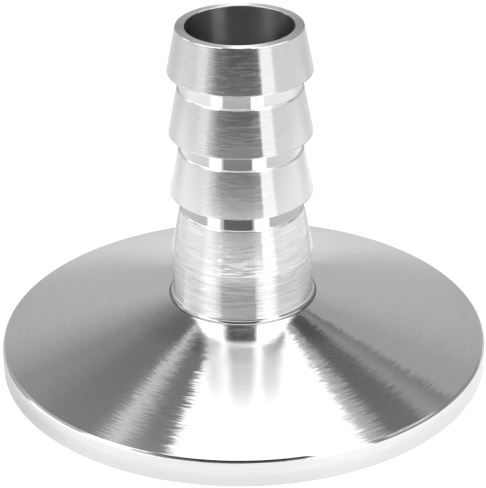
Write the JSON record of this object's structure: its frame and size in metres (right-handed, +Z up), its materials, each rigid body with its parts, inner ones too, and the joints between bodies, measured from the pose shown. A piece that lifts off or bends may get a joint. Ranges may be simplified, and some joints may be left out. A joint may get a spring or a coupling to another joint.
{
  "type": "vacuum flange hose barb",
  "caption": "Clamp-type vacuum flange with a conical back, turned in one piece with a barbed hose tail and bored right through.",
  "frame": {"origin": "centre of the flat sealing face, on the bore's axis", "axes": "+Z up the bore from the sealing face to the mouth of the hose tail; the part is round about Z, so X and Y are free"},
  "size_m": [0.055, 0.055, 0.04],
  "materials": {
    "stainless_steel": "turned bare metal with fine lines round the axis"
  },
  "bodies": {
    "root": {"flange_hose_barb": "stainless_steel"}
  },
  "joints": []
}
